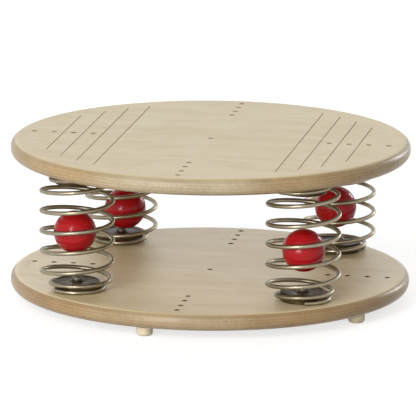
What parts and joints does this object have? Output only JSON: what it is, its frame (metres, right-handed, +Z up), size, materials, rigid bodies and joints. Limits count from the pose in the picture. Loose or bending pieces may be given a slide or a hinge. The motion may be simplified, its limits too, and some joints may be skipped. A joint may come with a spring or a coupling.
{
  "type": "spring balance board",
  "caption": "Round balance board: an upper and a lower wooden disc joined by coil springs with a ball inside each, standing on small round feet.",
  "frame": {"origin": "on the floor under the middle of the boards", "axes": "+Z up, +X along one line of small holes, to the right in the picture, +Y to the back"},
  "size_m": [0.5, 0.5, 0.201],
  "materials": {
    "lower_birch": "satin lacquered birch plywood",
    "upper_birch": "satin lacquered birch plywood",
    "spring_steel": "bright drawn spring wire",
    "ball_red": "glossy red",
    "clamp_dark": "dark grey",
    "screw_zinc": "bright zinc",
    "foot_cream": "cream, slightly soft"
  },
  "bodies": {
    "base": {"lower_board": "lower_birch", "foot_1": "foot_cream", "foot_2": "foot_cream", "foot_3": "foot_cream", "foot_4": "foot_cream", "foot_5": "foot_cream", "foot_screw_1": "screw_zinc", "foot_screw_2": "screw_zinc", "foot_screw_3": "screw_zinc", "foot_screw_4": "screw_zinc", "foot_screw_5": "screw_zinc", "lower_clamp_front_left": "clamp_dark", "lower_clamp_front_right": "clamp_dark", "lower_clamp_back_left": "clamp_dark", "lower_clamp_back_right": "clamp_dark", "lower_clamp_screw_front_left": "screw_zinc", "lower_clamp_screw_front_right": "screw_zinc", "lower_clamp_screw_back_left": "screw_zinc", "lower_clamp_screw_back_right": "screw_zinc", "ball_back_left": "ball_red"},
    "coils_a": {"spring_front_left": "spring_steel"},
    "coils_b": {"spring_back_right": "spring_steel"},
    "ball_level": {"ball_front_left": "ball_red", "ball_front_right": "ball_red", "ball_back_right": "ball_red"},
    "coils_c": {"spring_back_left": "spring_steel"},
    "coils_d": {"spring_front_right": "spring_steel"},
    "deck": {"upper_board": "upper_birch", "upper_clamp_front_left": "clamp_dark", "upper_clamp_front_right": "clamp_dark", "upper_clamp_back_left": "clamp_dark", "upper_clamp_back_right": "clamp_dark", "upper_clamp_screw_front_left": "screw_zinc", "upper_clamp_screw_front_right": "screw_zinc", "upper_clamp_screw_back_left": "screw_zinc", "upper_clamp_screw_back_right": "screw_zinc"}
  },
  "joints": [
    {"name": "bounce_lower", "type": "slide", "parent": "base", "child": "coils_a", "axis": [0, 0, 1], "range_m": [-0.0057, 0.0015], "stiffness_N_per_m": 19914, "springref_m": 0.00232, "deforming": ["spring_front_left", "spring_front_right", "spring_back_left", "spring_back_right"]},
    {"name": "tilt_x_lower", "type": "hinge", "parent": "coils_a", "child": "coils_b", "pos_m": [0, 0, 0.1065], "axis": [1, 0, 0], "range_deg": [-1.76, 1.76], "stiffness_Nm_per_rad": 397.1},
    {"name": "tilt_y_lower", "type": "hinge", "parent": "coils_b", "child": "ball_level", "pos_m": [0, 0, 0.1065], "axis": [0, 1, 0], "range_deg": [-1.76, 1.76], "stiffness_Nm_per_rad": 397.1},
    {"name": "tilt_y", "type": "hinge", "parent": "ball_level", "child": "coils_c", "pos_m": [0, 0, 0.1065], "axis": [0, 1, 0], "range_deg": [-3.25, 3.25], "stiffness_Nm_per_rad": 213.8},
    {"name": "tilt_x", "type": "hinge", "parent": "coils_c", "child": "coils_d", "pos_m": [0, 0, 0.1065], "axis": [1, 0, 0], "range_deg": [-3.25, 3.25], "stiffness_Nm_per_rad": 213.8},
    {"name": "bounce", "type": "slide", "parent": "coils_d", "child": "deck", "axis": [0, 0, 1], "range_m": [-0.0104, 0.0026], "stiffness_N_per_m": 10723, "springref_m": 0.00274}
  ],
  "couplings": [
    {"joint": "bounce_lower", "follows": "bounce", "ratio": 0.53846},
    {"joint": "tilt_x_lower", "follows": "tilt_x", "ratio": 0.53846},
    {"joint": "tilt_y_lower", "follows": "tilt_y", "ratio": 0.53846}
  ]
}
